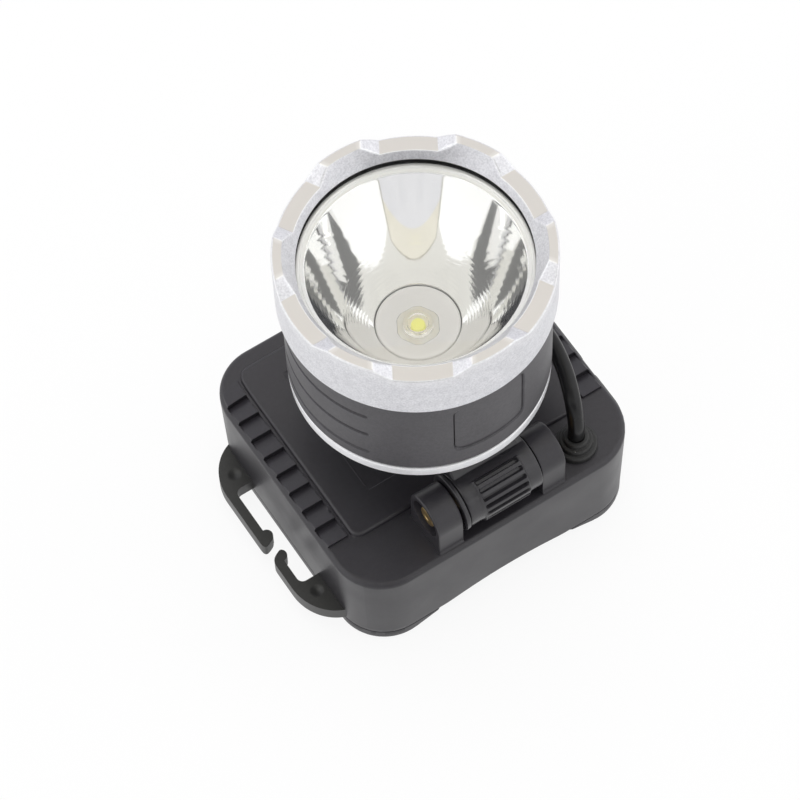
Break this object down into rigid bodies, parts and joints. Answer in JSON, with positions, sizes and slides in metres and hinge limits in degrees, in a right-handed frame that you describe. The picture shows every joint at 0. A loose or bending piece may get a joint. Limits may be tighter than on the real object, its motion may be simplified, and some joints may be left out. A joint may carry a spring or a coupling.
{
  "type": "miner's cap lamp",
  "caption": "Forehead lamp: flat battery case with strap loops, a friction hinge and a round LED head with a notched bright bezel.",
  "frame": {"origin": "centre of the battery case's footprint, on the plane that its back plate rests on; the lamp head's axis passes through it", "axes": "+Z the way the lamp looks, away from the forehead; +X along the hinge; -Y the side of the case that carries the hinge"},
  "size_m": [0.0874, 0.0698, 0.0948],
  "materials": {
    "case_plastic": "satin black moulding",
    "bracket_plastic": "black moulding, slightly glossier than the case",
    "pale_plastic": "warm white",
    "phosphor": "yellow phosphor",
    "circuit_board": "green solder resist",
    "cell": "blue heat-shrink wrap",
    "rubber": "black",
    "steel": "plated",
    "brass": "turned",
    "bright_aluminium": "bead-blasted, pale lilac grey",
    "black_aluminium": "matte black anodised",
    "chromed": "mirror, vacuum-metallised",
    "clear": "clear, polished"
  },
  "bodies": {
    "battery_case": {"case_top": "case_plastic", "back_plate": "case_plastic", "case_screw_1": "steel", "case_screw_2": "steel", "case_screw_3": "steel", "case_screw_4": "steel", "battery_cell_1": "cell", "battery_cell_2": "cell", "contact_strip_negative": "steel", "contact_strip_positive": "steel", "cell_cradle": "pale_plastic", "control_board": "circuit_board", "charge_socket": "case_plastic", "base_grommet": "rubber", "lead": "rubber", "hinge_bolt": "brass", "hinge_nut": "steel"},
    "lamp_head": {"friction_washer": "bracket_plastic", "lamp_bracket": "bracket_plastic", "bracket_screw_1": "steel", "bracket_screw_2": "steel", "bracket_screw_3": "steel", "head_gland": "rubber", "heat_sink": "bright_aluminium", "barrel_seal": "rubber", "barrel": "black_aluminium", "button_ring": "bright_aluminium", "switch_body": "case_plastic", "driver_board": "circuit_board", "led_board": "bright_aluminium", "led_spacer": "pale_plastic", "led_base": "pale_plastic", "led_phosphor": "phosphor", "led_dome": "clear", "reflector": "chromed", "lens_gasket": "rubber", "lens": "clear", "bezel": "bright_aluminium"},
    "switch_button": {"push_button": "rubber"},
    "charge_flap": {"port_flap": "rubber"}
  },
  "joints": [
    {"name": "head_tilt", "type": "hinge", "parent": "battery_case", "child": "lamp_head", "pos_m": [0, -0.0273, 0.0354], "axis": [1, 0, 0], "range_deg": [-15, 90], "deforming": ["lead"]},
    {"name": "button_press", "type": "slide", "parent": "lamp_head", "child": "switch_button", "axis": [0, -1, 0], "range_m": [0, 0.001], "stiffness_N_per_m": 900, "springref_m": -0.001},
    {"name": "flap_swing", "type": "hinge", "parent": "battery_case", "child": "charge_flap", "pos_m": [0, 0.0344, 0.0177], "axis": [1, 0, 0], "range_deg": [0, 110]}
  ]
}
